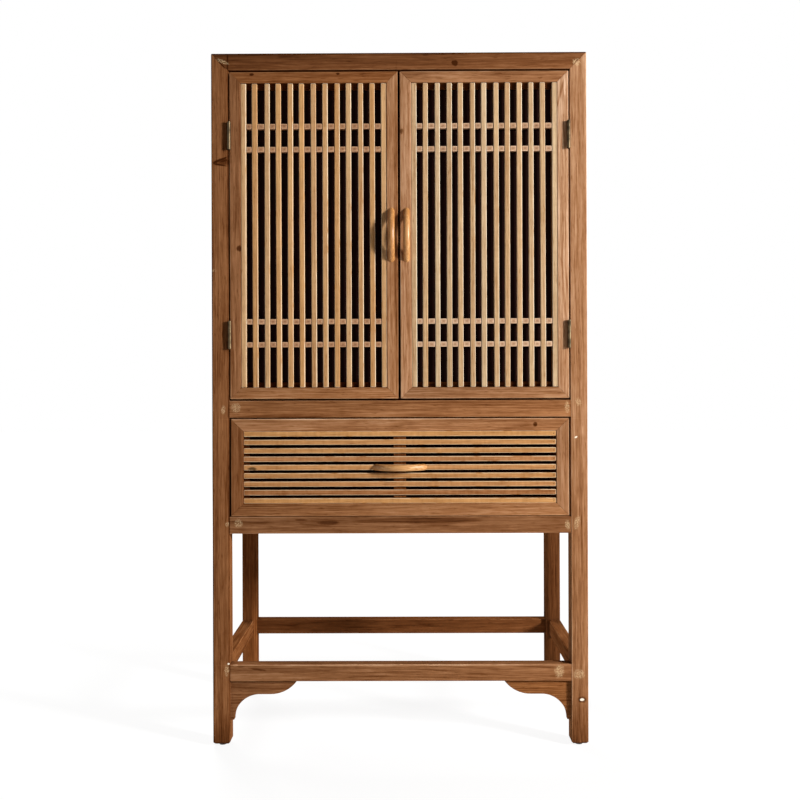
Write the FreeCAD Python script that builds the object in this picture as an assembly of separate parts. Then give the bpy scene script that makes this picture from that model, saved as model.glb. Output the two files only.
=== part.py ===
import FreeCAD, Part
import math
import os

# A free-standing cabinet: two slatted doors over one slatted drawer, on an open stand of four legs.
# Millimetres. +X is to the viewer's right, +Y towards the back and +Z up, with the doors facing -Y.
# The origin is on the floor, under the middle of the whole box, handles included.

Vector = FreeCAD.Vector
right = Vector(1, 0, 0)
rearward = Vector(0, 1, 0)
down = Vector(0, 0, -1)

# Carcase
cabinet_width = 866.0
cabinet_height = 1600.0
carcase_depth = 430.0
post_size = 39.0
leg_chamfer = 4.5
glide_height = 5.0
glide_diameter = 20.0
glide_taper = 1.5
cut_overrun = 5.0

# Rails and stretchers, each level given by its top face
rail_height = 39.0
rail_depth = 30.0
stretcher_depth = 30.0
mid_rail_top = 798.0
base_rail_top = 530.0
stretcher_top = 189.0
tenon_length = 12.0
tenon_thickness = 13.0
tenon_shoulder = 8.0
mortise_end_gap = 1.0

# Curved brackets under the front stretcher
bracket_length = 155.0
bracket_drop = 91.0
bracket_tip = 8.5
bracket_waist = 32.0
bracket_flat = 26.0
bracket_thickness = 16.0
bracket_setback = 8.0

# Panels that float in grooves, the floor and the shelf
side_panel_thickness = 8.0
back_panel_thickness = 6.0
top_panel_thickness = 10.0
top_panel_drop = 3.0
floor_thickness = 12.0
floor_drop = 8.0
groove_depth = 6.0
panel_clearance = 1.0
shelf_thickness = 15.0
shelf_clearance = 1.0
shelf_front_setback = 6.0
cleat_height = 20.0
cleat_bearing = 14.0

# Doors
door_thickness = 22.0
door_gap_top = 4.0
door_gap_bottom = 4.0
door_gap_hinge = 3.0
door_gap_meeting = 5.0
door_face_width = 26.0
door_slat_width = 12.0
door_slat_count = 13
cross_slat_height = 11.8
cross_slat_setback = 0.8
cross_slat_web = 6.0
lap_clearance = 0.5
cross_slat_outer = 125.5
cross_slat_inner = 178.5

# Rebates and slats, alike on the doors and the drawer front
rebate_width = 12.5
rebate_depth = 9.0
slat_thickness = 8.0
slat_end_gap = 0.5
backing_thickness = 4.0
backing_rebate_width = 6.0
backing_clearance = 0.5

# Drawer
drawer_front_thickness = 22.0
drawer_gap_side = 4.0
drawer_gap_top = 3.0
drawer_gap_bottom = 1.5
drawer_face_width = 29.0
drawer_slat_height = 12.0
drawer_slat_count = 9
batten_width = 28.0
batten_thickness = 8.0
drawer_side_thickness = 12.0
drawer_side_height = 150.0
drawer_side_inset = 2.0
drawer_back_thickness = 12.0
drawer_bottom_thickness = 6.0
drawer_bottom_lift = 8.0
drawer_groove_depth = 5.0
drawer_rear_gap = 8.0
runner_clearance = 0.3
guide_clearance = 1.0
guide_height = 35.0
ledge_thickness = 12.0
ledge_spare = 8.0

# Bow handles
handle_length = 126.0
handle_projection = 28.0
handle_bar_width = 15.0
handle_bar_thickness = 13.0
handle_section_sides = 16
door_handle_inset = 15.0

# Butt hinges
hinge_length = 64.0
hinge_inset = 148.0
leaf_thickness = 1.2
leaf_width = 18.0
barrel_diameter = 8.0
barrel_standoff = 0.4
knuckle_count = 3
knuckle_gap = 0.4
pin_diameter = 3.6
pin_clearance = 0.05

# Magnetic catches and their strike plates
catch_width = 40.0
catch_height = 18.0
catch_depth = 14.0
catch_gap = 0.4
catch_inset = 60.0
strike_width = 34.0
strike_height = 12.0
strike_thickness = 1.2
strike_edge = 2.0

# Planes and spans that the pieces share
half_width = cabinet_width / 2
post_inner = half_width - post_size
front = (handle_projection - carcase_depth) / 2
back = front + carcase_depth
opening_top = cabinet_height - post_size
mid_rail_bottom = mid_rail_top - rail_height
stretcher_bottom = stretcher_top - rail_height
between_posts_x = (-post_inner, post_inner)
between_posts_y = (front + post_size, back - post_size)
cupboard_z = (mid_rail_top, opening_top)
drawer_bay_z = (base_rail_top, mid_rail_bottom)
slat_y = (front + rebate_depth - slat_thickness, front + rebate_depth)


def block(x_span, y_span, z_span):
    """A straight board, given its low and high edge along each axis."""
    low = Vector(x_span[0], y_span[0], z_span[0])
    size = Vector(x_span[1], y_span[1], z_span[1]) - low
    return Part.makeBox(size.x, size.y, size.z, low)


def grown(span, reach):
    return (span[0] - reach, span[1] + reach)


def around(centre, size):
    return (centre - size / 2, centre + size / 2)


def prism(outline, travel):
    """A straight prism on a flat outline of points."""
    return Part.Face(Part.makePolygon(outline + outline[:1])).extrude(travel)


def mirrored(shape):
    """The same piece on the other side of the cabinet."""
    return shape.mirror(Vector(0, 0, 0), right)


def to_rear(shape):
    """The same piece at the other face of the carcase."""
    return shape.mirror(Vector(0, (front + back) / 2, 0), rearward)


def cut_by(shape, cutters):
    for cutter in cutters:
        shape = shape.cut(cutter)
    return shape


def save(node, *shapes):
    """Writes a node's solids to its file."""
    solids = [solid for shape in shapes for solid in shape.Solids]
    whole = solids[0] if len(solids) == 1 else Part.makeCompound(solids)
    whole.exportStep(os.path.join("parts", node + ".step"))


# Three-way mitre. In the corner cube each member keeps the part where the distance along itself from
# the outer corner is the largest of the three, so it ends in a four-sided point at that corner.
def corner_wedge(corner, along, across, third):
    low = -cut_overrun
    high = post_size + cut_overrun
    start = corner + third * low
    outline = [
        start + (along + across) * low,
        start + (along + across) * high,
        start + along * low + across * high,
    ]
    return prism(outline, third * (high - low))


def pointed_end(member, corner, along, across, third):
    across_wedge = corner_wedge(corner, along, across, third)
    third_wedge = corner_wedge(corner, along, third, across)
    return member.cut(across_wedge).cut(third_wedge)


front_left_corner = Vector(-half_width, front, cabinet_height)


def plain_post():
    """The front left post: a chamfered foot, and a pointed top for the mitre."""
    stick = block((-half_width, -post_inner), (front, front + post_size), (glide_height, cabinet_height))
    foot_edges = [edge for edge in stick.Edges if edge.BoundBox.ZMax < glide_height + leg_chamfer]
    stick = stick.makeChamfer(leg_chamfer, foot_edges)
    return pointed_end(stick, front_left_corner, down, right, rearward)


def top_cross_rail():
    """The top frame's front rail, pointed at both ends."""
    rail = block((-half_width, half_width), (front, front + post_size), (opening_top, cabinet_height))
    for _ in range(2):
        rail = mirrored(pointed_end(rail, front_left_corner, right, rearward, down))
    return rail


def top_side_rail():
    """The top frame's left rail, pointed at both ends."""
    rail = block((-half_width, -post_inner), (front, back), (opening_top, cabinet_height))
    for _ in range(2):
        rail = to_rear(pointed_end(rail, front_left_corner, rearward, right, down))
    return rail


# Rails between posts, each with a stub tenon at both ends, and the mortises that take them
def cross_rail(level, depth):
    """A front rail whose top face is at the level, and its mortises as one bar."""
    z_span = (level - rail_height, level)
    tenon_y = around(front + depth / 2, tenon_thickness)
    tenon_z = grown(z_span, -tenon_shoulder)
    body = block(between_posts_x, (front, front + depth), z_span)
    tenons = block(grown(between_posts_x, tenon_length), tenon_y, tenon_z)
    mortises = block(grown(between_posts_x, tenon_length + mortise_end_gap), tenon_y, tenon_z)
    return body.fuse(tenons).removeSplitter(), mortises


def side_rail(level, depth):
    """A left rail whose top face is at the level, and its mortises as one bar."""
    z_span = (level - rail_height, level)
    tenon_x = around(-half_width + depth / 2, tenon_thickness)
    tenon_z = grown(z_span, -tenon_shoulder)
    body = block((-half_width, -half_width + depth), between_posts_y, z_span)
    tenons = block(tenon_x, grown(between_posts_y, tenon_length), tenon_z)
    mortises = block(tenon_x, grown(between_posts_y, tenon_length + mortise_end_gap), tenon_z)
    return body.fuse(tenons).removeSplitter(), mortises


# Panels that float in grooves
def panel_and_groove(spans, enters):
    """A panel over an opening and its groove; enters says along which axes it runs into the frame."""

    def board(reach):
        return block(*[grown(span, reach) if into else span for span, into in zip(spans, enters)])

    return board(groove_depth - panel_clearance), board(groove_depth)


def side_panel(z_span):
    x_span = around(-half_width + post_size / 2, side_panel_thickness)
    return panel_and_groove((x_span, between_posts_y, z_span), (False, True, True))


def back_panel(z_span):
    y_span = around(back - post_size / 2, back_panel_thickness)
    return panel_and_groove((between_posts_x, y_span, z_span), (True, False, True))


def top_panel():
    high = cabinet_height - top_panel_drop
    z_span = (high - top_panel_thickness, high)
    return panel_and_groove((between_posts_x, between_posts_y, z_span), (True, True, False))


floor_top = mid_rail_top - floor_drop


def cabinet_floor():
    """The cupboard's floor, held in the middle rails and notched round the posts."""
    x_span = grown((-half_width, half_width), -rail_depth)
    y_span = grown((front, back), -rail_depth)
    z_span = (floor_top - floor_thickness, floor_top)
    board, groove = panel_and_groove((x_span, y_span, z_span), (True, True, False))
    notch_x = (-half_width, -post_inner + panel_clearance)
    notch_y = (front, front + post_size + panel_clearance)
    notch = block(notch_x, notch_y, grown(z_span, cut_overrun))
    notches = [notch, mirrored(notch), to_rear(notch), to_rear(mirrored(notch))]
    return cut_by(board, notches), groove


def build_carcase():
    posts = {"front_left": plain_post()}
    posts["front_right"] = mirrored(posts["front_left"])
    posts["rear_left"] = to_rear(posts["front_left"])
    posts["rear_right"] = to_rear(posts["front_right"])

    left_upper, left_upper_groove = side_panel(cupboard_z)
    left_lower, left_lower_groove = side_panel(drawer_bay_z)
    upper_back, upper_back_groove = back_panel(cupboard_z)
    lower_back, lower_back_groove = back_panel(drawer_bay_z)
    lid, lid_groove = top_panel()
    floor, floor_groove = cabinet_floor()
    grooves = [left_upper_groove, left_lower_groove, upper_back_groove, lower_back_groove, lid_groove]
    grooves += [mirrored(left_upper_groove), mirrored(left_lower_groove)]

    cutters = grooves + [floor_groove]
    mortises = []
    for name, level in (("mid", mid_rail_top), ("base", base_rail_top)):
        cross, cross_mortises = cross_rail(level, rail_depth)
        side, side_mortises = side_rail(level, rail_depth)
        mortises += [cross_mortises, side_mortises]
        save(name + "_front_rail", cut_by(cross, cutters))
        save(name + "_rear_rail", cut_by(to_rear(cross), cutters))
        left_side = cut_by(side, cutters)
        save(name + "_side_rails", left_side, mirrored(left_side))

    stretcher, stretcher_mortises = cross_rail(stretcher_top, stretcher_depth)
    left_stretcher, side_mortises = side_rail(stretcher_top, stretcher_depth)
    mortises += [stretcher_mortises, side_mortises]
    save("front_stretcher", stretcher)
    save("rear_stretcher", to_rear(stretcher))
    save("left_stretcher", left_stretcher)
    save("right_stretcher", mirrored(left_stretcher))

    every_mortise = mortises + [to_rear(mortise) for mortise in mortises]
    every_mortise += [mirrored(mortise) for mortise in every_mortise]
    for name, post in posts.items():
        save(name + "_post", cut_by(post, every_mortise + grooves))

    front_rail = top_cross_rail()
    left_rail = top_side_rail()
    save("top_front_rail", cut_by(front_rail, grooves))
    save("top_rear_rail", cut_by(to_rear(front_rail), grooves))
    save("top_left_rail", cut_by(left_rail, grooves))
    save("top_right_rail", cut_by(mirrored(left_rail), grooves))

    save("top_panel", lid)
    save("left_upper_panel", left_upper)
    save("right_upper_panel", mirrored(left_upper))
    save("lower_side_panels", left_lower, mirrored(left_lower))
    save("upper_back_panel", upper_back)
    save("lower_back_panel", lower_back)
    save("cabinet_floor", floor)


def bracket():
    """The left bracket: a board with an ogee edge, in the corner of the post and the stretcher."""
    cove_radius = bracket_drop - bracket_waist
    cove_end = bracket_tip + cove_radius
    flat_end = cove_end + bracket_flat
    nose_run = bracket_length - flat_end
    nose_radius = (nose_run**2 + bracket_waist**2) / (2 * bracket_waist)
    nose_turn = math.atan2(nose_run, nose_radius - bracket_waist) / 2
    cove_turn = math.pi / 4

    def at(run, drop):
        return Vector(-post_inner + run, front + bracket_setback, stretcher_bottom - drop)

    nose_middle = at(
        flat_end + nose_radius * math.sin(nose_turn),
        bracket_waist - nose_radius * (1 - math.cos(nose_turn)),
    )
    cove_middle = at(
        cove_end - cove_radius * math.sin(cove_turn),
        bracket_drop - cove_radius * math.cos(cove_turn),
    )
    edges = [
        Part.LineSegment(at(0, 0), at(bracket_length, 0)),
        Part.Arc(at(bracket_length, 0), nose_middle, at(flat_end, bracket_waist)),
        Part.LineSegment(at(flat_end, bracket_waist), at(cove_end, bracket_waist)),
        Part.Arc(at(cove_end, bracket_waist), cove_middle, at(bracket_tip, bracket_drop)),
        Part.LineSegment(at(bracket_tip, bracket_drop), at(0, bracket_drop)),
        Part.LineSegment(at(0, bracket_drop), at(0, 0)),
    ]
    outline = Part.Wire([edge.toShape() for edge in edges])
    return Part.Face(outline).extrude(rearward * bracket_thickness)


def glide(x, y):
    radius = glide_diameter / 2
    return Part.makeCone(radius - glide_taper, radius, glide_height, Vector(x, y, 0))


def build_stand():
    left = bracket()
    save("stretcher_brackets", left, mirrored(left))
    leg_x = half_width - post_size / 2
    leg_ys = (front + post_size / 2, back - post_size / 2)
    save("foot_glides", *[glide(x, y) for y in leg_ys for x in (-leg_x, leg_x)])


def build_shelf():
    """One shelf between the posts, on a cleat at each side."""
    shelf_top = (floor_top + opening_top + shelf_thickness) / 2
    shelf_low = shelf_top - shelf_thickness
    shelf_x = grown(between_posts_x, -shelf_clearance)
    back_panel_face = back - (post_size + back_panel_thickness) / 2
    shelf_y = (between_posts_y[0] + shelf_front_setback, back_panel_face - shelf_clearance)
    side_panel_face = -half_width + (post_size + side_panel_thickness) / 2
    cleat_x = (side_panel_face, shelf_x[0] + cleat_bearing)
    cleat = block(cleat_x, between_posts_y, (shelf_low - cleat_height, shelf_low))
    save("shelf", block(shelf_x, shelf_y, (shelf_low, shelf_top)))
    save("shelf_cleats", cleat, mirrored(cleat))


# Mitred frames of the doors and the drawer front
def mitred_side(start, end, inward, layers):
    """One frame member along its outer edge; layers are depth spans, each with the member's width there."""
    along = (end - start).normalize()
    member = None
    for y_span, width in layers:
        lift = rearward * y_span[0]
        outline = [start, end, end + (inward - along) * width, start + (inward + along) * width]
        layer = prism([point + lift for point in outline], rearward * (y_span[1] - y_span[0]))
        member = layer if member is None else member.fuse(layer)
    return member.removeSplitter()


def mitred_frame(x_span, z_span, face_width, thickness):
    """The four members of a frame with a front rebate for slats and a back rebate for the backing."""
    full_width = face_width + rebate_width
    back_face = front + thickness
    layers = [
        ((front, front + rebate_depth), face_width),
        ((front + rebate_depth, back_face - backing_thickness), full_width),
        ((back_face - backing_thickness, back_face), full_width - backing_rebate_width),
    ]
    corner = {(i, j): Vector(x_span[i], 0, z_span[j]) for i in (0, 1) for j in (0, 1)}
    rails = [
        mitred_side(corner[0, 0], corner[1, 0], down * -1, layers),
        mitred_side(corner[0, 1], corner[1, 1], down, layers),
    ]
    stiles = [
        mitred_side(corner[0, 0], corner[0, 1], right, layers),
        mitred_side(corner[1, 0], corner[1, 1], right * -1, layers),
    ]
    return rails, stiles


def backing(x_span, z_span, face_width, thickness):
    """The dark board let into the back of a frame."""
    reach = backing_rebate_width - backing_clearance - face_width - rebate_width
    back_face = front + thickness
    return block(grown(x_span, reach), (back_face - backing_thickness, back_face), grown(z_span, reach))


def slat_starts(span, slat_width, count):
    """The low edges of slats spread evenly from one end of a span to the other."""
    pitch = (span[1] - span[0] - slat_width) / (count - 1)
    return [span[0] + pitch * index for index in range(count)]


def bow_handle(foot, run, across):
    """An arched bar cut from a ring with a many-sided oval section, flat where it meets the face.

    The foot is the middle of the bar's length, on that face.
    """
    outer_radius = ((handle_length / 2) ** 2 + handle_projection**2) / (2 * handle_projection)
    ring_centre = foot + rearward * (outer_radius - handle_projection)
    bar_centre = ring_centre - rearward * (outer_radius - handle_bar_thickness / 2)
    half_across = across * (handle_bar_width / 2)
    half_deep = rearward * (handle_bar_thickness / 2)
    turns = [2 * math.pi * index / handle_section_sides for index in range(handle_section_sides)]
    section = [bar_centre + half_across * math.cos(turn) + half_deep * math.sin(turn) for turn in turns]
    ring = Part.Face(Part.makePolygon(section + section[:1])).revolve(ring_centre, across, 360)
    reach = outer_radius + handle_bar_width
    behind = prism(
        [foot + (run + across) * reach, foot + (run - across) * reach,
         foot - (run + across) * reach, foot - (run - across) * reach],
        rearward * (reach + outer_radius),
    )
    return Part.Solid(ring.cut(behind).Solids[0])


# Butt hinges of the left door. The pin stands in front of the face, on the line of the door's edge.
left_door_x = (-post_inner + door_gap_hinge, -door_gap_meeting / 2)
door_z = (mid_rail_top + door_gap_bottom, opening_top - door_gap_top)
hinge_zs = (door_z[0] + hinge_inset, door_z[1] - hinge_inset)
barrel_radius = barrel_diameter / 2
hinge_x = left_door_x[0]
hinge_y = front - barrel_radius - barrel_standoff


def knuckle_spans(middle):
    """The height span of each knuckle, from the lowest up, with a gap between neighbours."""
    low, high = around(middle, hinge_length)
    step = (high - low) / knuckle_count
    spans = [[low + step * index, low + step * (index + 1)] for index in range(knuckle_count)]
    for lower, upper in zip(spans, spans[1:]):
        lower[1] -= knuckle_gap / 2
        upper[0] += knuckle_gap / 2
    return spans


def barrel(radius, z_span):
    return Part.makeCylinder(radius, z_span[1] - z_span[0], Vector(hinge_x, hinge_y, z_span[0]))


def hinge_leaf(middle, x_span, spans):
    """A leaf in the gap between post and door, with the knuckles that it carries."""
    leaf = block(x_span, (front, front + leaf_width), around(middle, hinge_length))
    for z_span in spans:
        neck = block(x_span, (hinge_y, front), z_span)
        leaf = leaf.fuse(neck).fuse(barrel(barrel_radius, z_span))
    bore = barrel(pin_diameter / 2 + pin_clearance, grown(around(middle, hinge_length), cut_overrun))
    return leaf.removeSplitter().cut(bore)


def build_hinges():
    post_leaf_x = (-post_inner, -post_inner + leaf_thickness)
    door_leaf_x = (hinge_x - leaf_thickness, hinge_x)
    post_leaves = [hinge_leaf(z, post_leaf_x, knuckle_spans(z)[0::2]) for z in hinge_zs]
    door_leaves = [hinge_leaf(z, door_leaf_x, knuckle_spans(z)[1::2]) for z in hinge_zs]
    pins = [barrel(pin_diameter / 2, around(z, hinge_length)) for z in hinge_zs]
    save("hinge_post_leaves", *post_leaves, *[mirrored(leaf) for leaf in post_leaves])
    save("hinge_pins", *pins, *[mirrored(pin) for pin in pins])
    save("left_door_hinge_leaves", *door_leaves)
    save("right_door_hinge_leaves", *[mirrored(leaf) for leaf in door_leaves])


def build_doors():
    """Both doors: the right one mirrors the left. Cross slats lap over the upright ones from behind."""
    rails, stiles = mitred_frame(left_door_x, door_z, door_face_width, door_thickness)
    slat_span = grown(left_door_x, -door_face_width)
    slat_z = grown(door_z, -door_face_width - slat_end_gap)
    slat_xs = [(x, x + door_slat_width) for x in slat_starts(slat_span, door_slat_width, door_slat_count)]
    laps = [block(grown(slat_x, lap_clearance), slat_y, slat_z) for slat_x in slat_xs]
    cross_x = grown(left_door_x, -door_face_width - rebate_width)
    cross_y = (slat_y[0] + cross_slat_setback, slat_y[1] + cross_slat_web)
    cross_middles = [door_z[0] + cross_slat_outer, door_z[0] + cross_slat_inner]
    cross_middles += [door_z[1] - cross_slat_outer, door_z[1] - cross_slat_inner]
    cross_zs = [around(middle, cross_slat_height) for middle in cross_middles]
    handle_foot = Vector(left_door_x[1] - door_handle_inset, front, sum(door_z) / 2)
    strike_y = (front + door_thickness, front + door_thickness + strike_thickness)
    strike_z = (door_z[1] - strike_edge - strike_height, door_z[1] - strike_edge)
    pieces = {
        "rails": rails,
        "stiles": stiles,
        "slats": [block(slat_x, slat_y, slat_z) for slat_x in slat_xs],
        "cross_slats": [cut_by(block(cross_x, cross_y, cross_z), laps) for cross_z in cross_zs],
        "backing": [backing(left_door_x, door_z, door_face_width, door_thickness)],
        "handle": [bow_handle(handle_foot, down, right)],
        "strike": [block(around(-catch_inset, strike_width), strike_y, strike_z)],
    }
    for name, solids in pieces.items():
        save("left_door_" + name, *solids)
        save("right_door_" + name, *[mirrored(solid) for solid in solids])


def build_catches():
    """Magnetic catches under the top rail, just behind the doors' strike plates."""
    catch_front = front + door_thickness + strike_thickness + catch_gap
    catch_z = (opening_top - catch_height, opening_top)
    catch = block(around(-catch_inset, catch_width), (catch_front, catch_front + catch_depth), catch_z)
    save("door_catches", catch, mirrored(catch))


# Drawer, and the runners that it slides on
drawer_x = grown(between_posts_x, -drawer_gap_side)
drawer_z = (base_rail_top + drawer_gap_bottom, mid_rail_bottom - drawer_gap_top)
box_outer_x = grown(drawer_x, -drawer_side_inset)
box_inner_x = grown(box_outer_x, -drawer_side_thickness)
box_y = (front + drawer_front_thickness, back - rail_depth - drawer_rear_gap)
box_low = base_rail_top + runner_clearance
box_high = box_low + drawer_side_height
drawer_bottom_z = (box_low + drawer_bottom_lift, box_low + drawer_bottom_lift + drawer_bottom_thickness)


def build_drawer_front():
    rails, stiles = mitred_frame(drawer_x, drawer_z, drawer_face_width, drawer_front_thickness)
    slat_x = grown(drawer_x, -drawer_face_width - slat_end_gap)
    starts = slat_starts(grown(drawer_z, -drawer_face_width), drawer_slat_height, drawer_slat_count)
    batten_y = (front + rebate_depth, front + rebate_depth + batten_thickness)
    batten_z = grown(drawer_z, -drawer_face_width - rebate_width)
    handle_foot = Vector(0, slat_y[0], sum(drawer_z) / 2)
    save("drawer_front_rails", *rails)
    save("drawer_front_stiles", *stiles)
    save("drawer_slats", *[block(slat_x, slat_y, (z, z + drawer_slat_height)) for z in starts])
    save("drawer_batten", block(around(0, batten_width), batten_y, batten_z))
    save("drawer_backing", backing(drawer_x, drawer_z, drawer_face_width, drawer_front_thickness))
    save("drawer_handle", bow_handle(handle_foot, right, down))


def build_drawer_box():
    """Sides grooved for the bottom, and a back that stands on the bottom."""
    groove = block(grown(box_inner_x, drawer_groove_depth), box_y, drawer_bottom_z)
    side = block((box_outer_x[0], box_inner_x[0]), box_y, (box_low, box_high)).cut(groove)
    back_y = (box_y[1] - drawer_back_thickness, box_y[1])
    bottom_x = grown(box_inner_x, drawer_groove_depth - panel_clearance)
    save("drawer_sides", side, mirrored(side))
    save("drawer_back", block(box_inner_x, back_y, (drawer_bottom_z[1], box_high)))
    save("drawer_bottom", block(bottom_x, box_y, drawer_bottom_z))


def build_runners():
    """L-section runners on the base rails: a ledge under each drawer side and a guide beside it."""
    fixed_x = -half_width + rail_depth
    guide_x = box_outer_x[0] - guide_clearance
    ledge_x = box_inner_x[0] + ledge_spare
    ledge_low = base_rail_top - ledge_thickness
    guide_top = base_rail_top + guide_height
    profile = [
        (fixed_x, ledge_low),
        (ledge_x, ledge_low),
        (ledge_x, base_rail_top),
        (guide_x, base_rail_top),
        (guide_x, guide_top),
        (fixed_x, guide_top),
    ]
    start = between_posts_y[0]
    run = rearward * (between_posts_y[1] - start)
    runner = prism([Vector(x, start, z) for x, z in profile], run)
    save("drawer_runners", runner, mirrored(runner))


os.makedirs("parts", exist_ok=True)
build_carcase()
build_stand()
build_shelf()
build_hinges()
build_doors()
build_catches()
build_drawer_front()
build_drawer_box()
build_runners()
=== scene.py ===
import math
import random

import bmesh
import bpy
from mathutils import Matrix, Vector


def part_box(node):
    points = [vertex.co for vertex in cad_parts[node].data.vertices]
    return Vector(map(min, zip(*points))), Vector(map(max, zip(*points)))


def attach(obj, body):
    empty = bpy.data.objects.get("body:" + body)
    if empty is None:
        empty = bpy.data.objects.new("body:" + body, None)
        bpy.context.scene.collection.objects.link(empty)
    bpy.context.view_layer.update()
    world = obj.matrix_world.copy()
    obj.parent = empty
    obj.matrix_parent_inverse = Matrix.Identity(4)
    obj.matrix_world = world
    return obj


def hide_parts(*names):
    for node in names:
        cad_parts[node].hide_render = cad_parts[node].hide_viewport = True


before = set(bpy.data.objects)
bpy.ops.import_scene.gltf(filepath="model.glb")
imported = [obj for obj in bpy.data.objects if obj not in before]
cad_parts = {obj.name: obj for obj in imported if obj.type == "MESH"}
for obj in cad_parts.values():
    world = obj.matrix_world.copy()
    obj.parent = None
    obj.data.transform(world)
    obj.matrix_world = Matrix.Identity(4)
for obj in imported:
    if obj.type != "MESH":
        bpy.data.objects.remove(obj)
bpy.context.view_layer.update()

MM = 0.001

# Posts
# Four square posts of reclaimed softwood run from the top frame to the floor. They are planed and oiled,
# with their arrises worn round, and no two boards took the oil alike. Old knots, pegs and filled holes show.


def shade(red, green, blue):
    """A colour as the eye reads it, 0 to 255 a channel, turned into the linear one that a shader takes."""
    channels = [value / 255 for value in (red, green, blue)]
    return tuple(((value + 0.055) / 1.055) ** 2.4 for value in channels) + (1.0,)


class Socket:
    """One output of a node. Sums, products and powers of sockets add Math nodes to its tree."""

    def __init__(self, maker, node, output):
        self.maker = maker
        self.node = node
        self.output = output

    def out(self, name):
        return Socket(self.maker, self.node, self.node.outputs[name])

    def math(self, operation, *others):
        values = dict(enumerate((self,) + others))
        return self.maker.add("ShaderNodeMath", {"operation": operation}, values)

    def step(self, low, high):
        """Runs smoothly from 0 at low to 1 at high."""
        inputs = {"Value": self, "From Min": low, "From Max": high}
        return self.maker.add("ShaderNodeMapRange", {"interpolation_type": "SMOOTHSTEP"}, inputs)

    def __add__(self, other):
        return self.math("ADD", other)

    def __mul__(self, other):
        return self.math("MULTIPLY", other)

    def __sub__(self, other):
        return self.math("SUBTRACT", other)

    def __truediv__(self, other):
        return self.math("DIVIDE", other)

    def __pow__(self, other):
        return self.math("POWER", other)

    def __rsub__(self, other):
        return self * -1 + other

    __radd__ = __add__
    __rmul__ = __mul__


class Maker:
    """A node tree under construction, with one method that adds any node."""

    def __init__(self, tree):
        self.tree = tree

    def add(self, kind, settings=None, inputs=None, output=0):
        node = self.tree.nodes.new(kind)
        for name, value in (settings or {}).items():
            if name == "stops":
                self.set_stops(node.color_ramp, value)
            else:
                setattr(node, name, value)
        by_identifier = {socket.identifier: socket for socket in node.inputs}
        for name, value in (inputs or {}).items():
            socket = by_identifier.get(name) or node.inputs[name]
            if isinstance(value, Socket):
                self.tree.links.new(value.output, socket)
            else:
                socket.default_value = value
        return Socket(self, node, node.outputs[output] if node.outputs else None)

    def set_stops(self, ramp, stops):
        while len(ramp.elements) < len(stops):
            ramp.elements.new(1.0)
        for element, (position, colour) in zip(ramp.elements, stops):
            element.position = position
            element.color = colour

    def given(self, inputs, result):
        """The inputs of a geometry tree, by name and kind of socket, and the name of what it gives."""
        for name, kind in inputs.items():
            self.tree.interface.new_socket(name, in_out="INPUT", socket_type=kind)
        self.tree.interface.new_socket(result, in_out="OUTPUT", socket_type="NodeSocketGeometry")
        return self.add("NodeGroupInput")

    def attribute(self, name, output="Vector"):
        return self.add("ShaderNodeAttribute", {"attribute_name": name}, output=output)

    def parts(self, vector):
        split = self.add("ShaderNodeSeparateXYZ", inputs={"Vector": vector})
        return [split.out(axis) for axis in "XYZ"]

    def scaled(self, vector, factors):
        values = {0: vector, 1: factors}
        return self.add("ShaderNodeVectorMath", {"operation": "MULTIPLY"}, values)

    def shifted(self, vector, other):
        return self.add("ShaderNodeVectorMath", {"operation": "ADD"}, {0: vector, 1: other})

    def noise(self, vector, rates, detail=2.0, roughness=0.5):
        """Noise with so many cells to a metre along each axis."""
        place = self.scaled(vector, rates)
        inputs = {"Vector": place, "Scale": 1.0, "Detail": detail, "Roughness": roughness}
        return self.add("ShaderNodeTexNoise", inputs=inputs)

    def mixed(self, factor, one, other, blend="MIX"):
        inputs = {"Factor_Float": factor, "A_Color": one, "B_Color": other}
        return self.add("ShaderNodeMix", {"data_type": "RGBA", "blend_type": blend}, inputs, output=2)


def new_material(name):
    material = bpy.data.materials.new(name)
    material.use_nodes = True
    material.node_tree.nodes.clear()
    return material, Maker(material.node_tree)


FRONT_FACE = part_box("front_left_post")[0].y
MARK_DEPTH = 6 * MM
RAGGED_REACH = 15
RAGGED_RATES = (150.0, 150.0, 150.0)


def mark_shows(make, marks):
    """1 in the middle of a mark on the front, and 0 outside them all.

    Each is an X, a Z and two reaches, in mm, and the degrees that the first reach is turned up from level.
    Small marks are ragged, and large ones smooth."""
    if not marks:
        return 0
    place = make.add("ShaderNodeTexCoord", output="Object")
    ragged = make.noise(place, RAGGED_RATES) - 0.5
    x, y, z = make.parts(place)
    shown = 0
    for middle_x, middle_z, reach, other_reach, degrees in marks:
        turn = math.radians(degrees)
        off_x, off_z = x - middle_x * MM, z - middle_z * MM
        off_along = (off_x * math.cos(turn) + off_z * math.sin(turn)) / (reach * MM)
        off_across = (off_z * math.cos(turn) - off_x * math.sin(turn)) / (other_reach * MM)
        tatter = min(1.0, RAGGED_REACH / max(reach, other_reach))
        spot = 1 - (off_along**2 + off_across**2 + ragged * tatter).step(0.2, 1.0)
        shown = spot.math("MAXIMUM", shown)
    return shown * (1 - y.step(FRONT_FACE + MARK_DEPTH / 2, FRONT_FACE + MARK_DEPTH))


RING_WIDTH = 3.8 * MM
RING_WARP = 16 * MM
PITH_ASIDE = 90 * MM
PITH_LEAN = 0.06
PITH_DEPTH = 25 * MM
PITH_SPREAD = 50 * MM
SEAM_REACH = 1.1 * MM
GRAIN_RELIEF = 0.6 * MM
CRUMB_RATES = (760.0, 760.0, 760.0)
filler = shade(226, 196, 150)
peg_end = shade(244, 232, 210)
mould = shade(50, 38, 20)


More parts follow.
